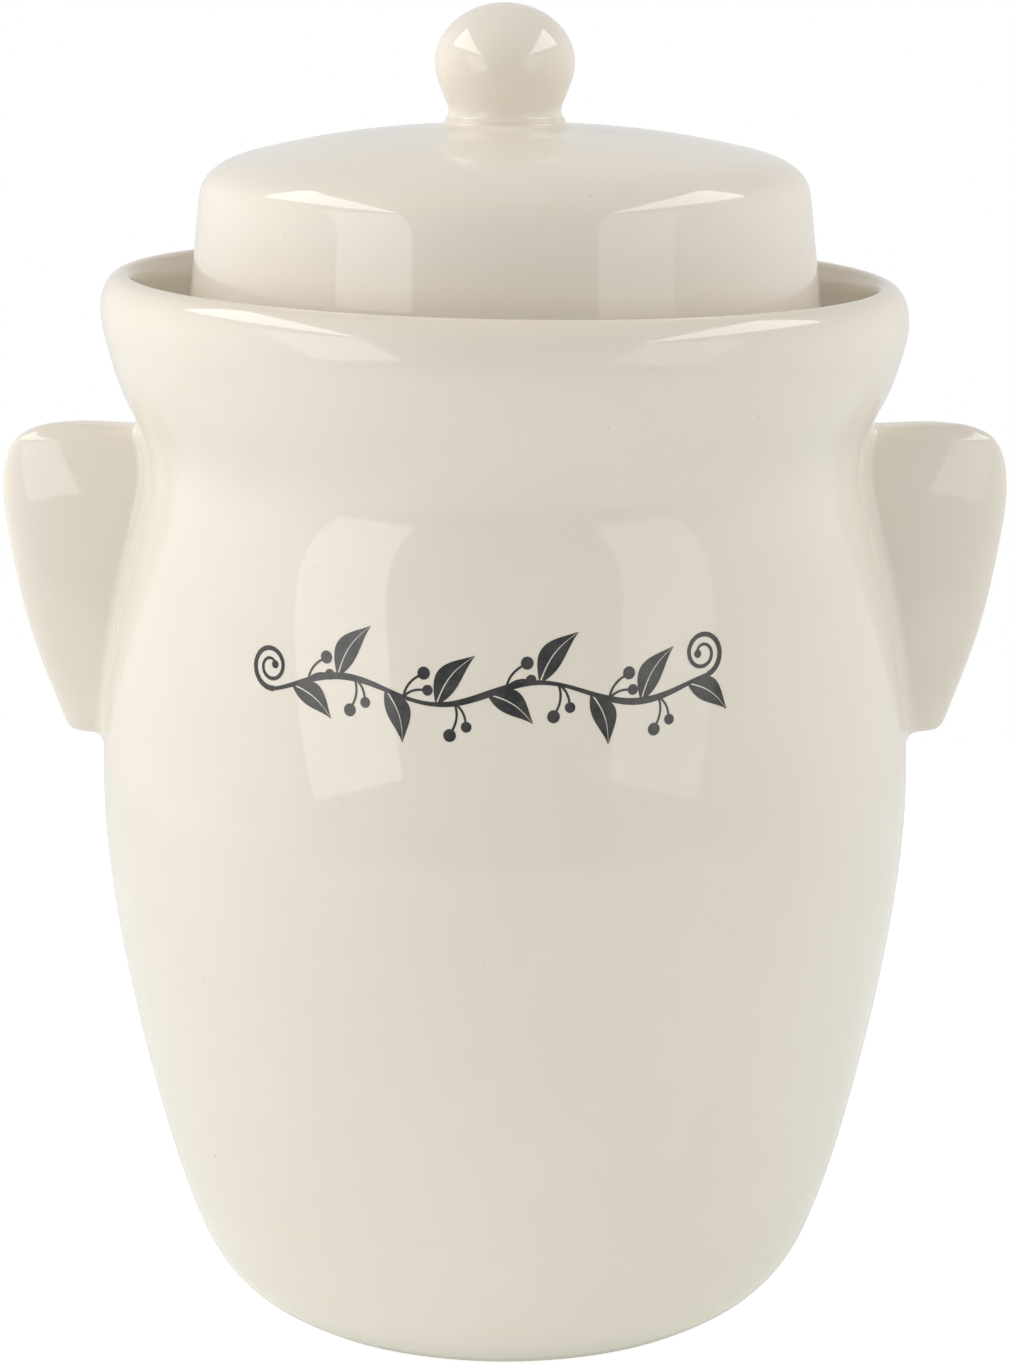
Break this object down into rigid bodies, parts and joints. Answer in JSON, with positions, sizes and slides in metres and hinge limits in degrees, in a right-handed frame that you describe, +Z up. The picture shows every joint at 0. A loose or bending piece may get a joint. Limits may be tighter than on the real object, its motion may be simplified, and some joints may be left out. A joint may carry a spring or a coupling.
{
  "type": "ceramic fermenting crock",
  "caption": "Glazed stoneware fermenting crock with solid side lugs, a water channel at the rim, a domed lid that stands in it, and half-round weight stones.",
  "frame": {"origin": "middle of the foot, at the height of the surface that it stands on", "axes": "+Z up the crock's turned axis, +X through the right lug, +Y away from the decorated front"},
  "size_m": [0.2572, 0.2084, 0.3368],
  "materials": {
    "cream_glaze": "glossy cream glaze over stoneware",
    "bare_stoneware": "unglazed, fine-grained and matt"
  },
  "bodies": {
    "crock": {"crock_body": "cream_glaze", "neck_ring": "cream_glaze", "handle_left": "cream_glaze", "handle_right": "cream_glaze"},
    "lid": {"lid_dome": "cream_glaze", "lid_knob": "cream_glaze"},
    "weight_back": {"weight_back": "bare_stoneware"},
    "weight_front": {"weight_front": "bare_stoneware"}
  },
  "joints": [
    {"name": "lid_lift", "type": "slide", "parent": "crock", "child": "lid", "axis": [0, 0, 1], "range_m": [0, 0.1]},
    {"name": "weight_back_lift", "type": "slide", "parent": "crock", "child": "weight_back", "axis": [0, 0, 1], "range_m": [0, 0.185]},
    {"name": "weight_front_lift", "type": "slide", "parent": "crock", "child": "weight_front", "axis": [0, 0, 1], "range_m": [0, 0.185]}
  ]
}
